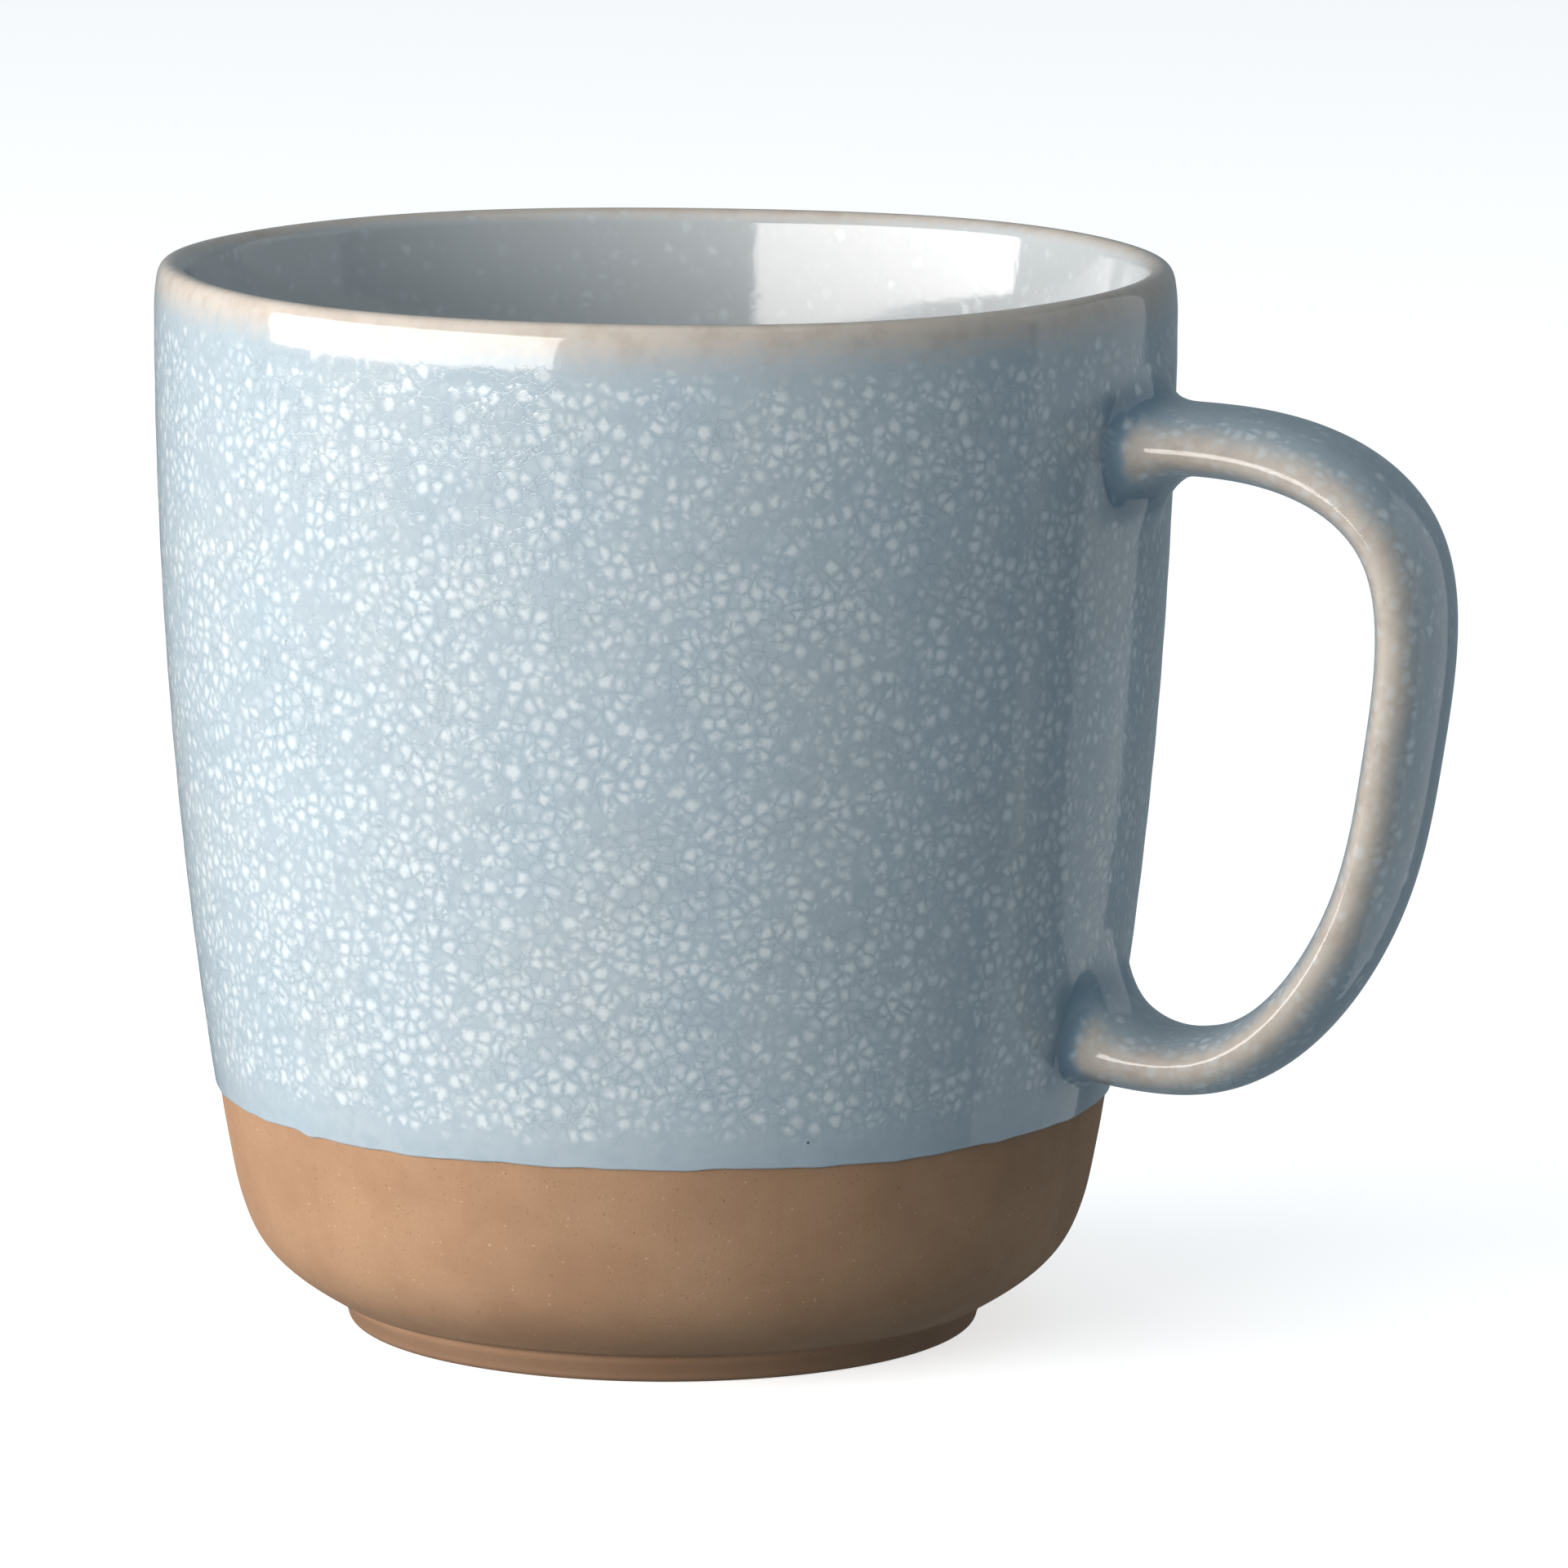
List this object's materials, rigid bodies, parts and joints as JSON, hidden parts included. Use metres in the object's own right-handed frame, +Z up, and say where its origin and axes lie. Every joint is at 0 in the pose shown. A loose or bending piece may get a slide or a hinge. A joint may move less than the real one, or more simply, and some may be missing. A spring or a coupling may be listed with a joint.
{
  "type": "ceramic mug",
  "caption": "Wheel-thrown stoneware mug with a pulled side handle, reactive pale blue-grey glaze inside and out, and a bare clay foot.",
  "frame": {"origin": "centre of the foot ring, in the plane that the mug stands on", "axes": "+Z up along the axis the cup was thrown on, +X from that axis out through the handle, +Y completing a right-handed frame across the handle's width"},
  "size_m": [0.1237, 0.0948, 0.0998],
  "materials": {
    "bare_stoneware": "matte",
    "handle_stoneware": "matte",
    "luting_slip": "matte",
    "outer_glaze": "gloss",
    "liner_glaze": "gloss",
    "handle_glaze": "gloss"
  },
  "bodies": {
    "root": {"cup_body": "bare_stoneware", "handle_core": "handle_stoneware", "upper_slip_joint": "luting_slip", "lower_slip_joint": "luting_slip", "outer_glaze": "outer_glaze", "liner_glaze": "liner_glaze", "handle_glaze": "handle_glaze"}
  },
  "joints": []
}
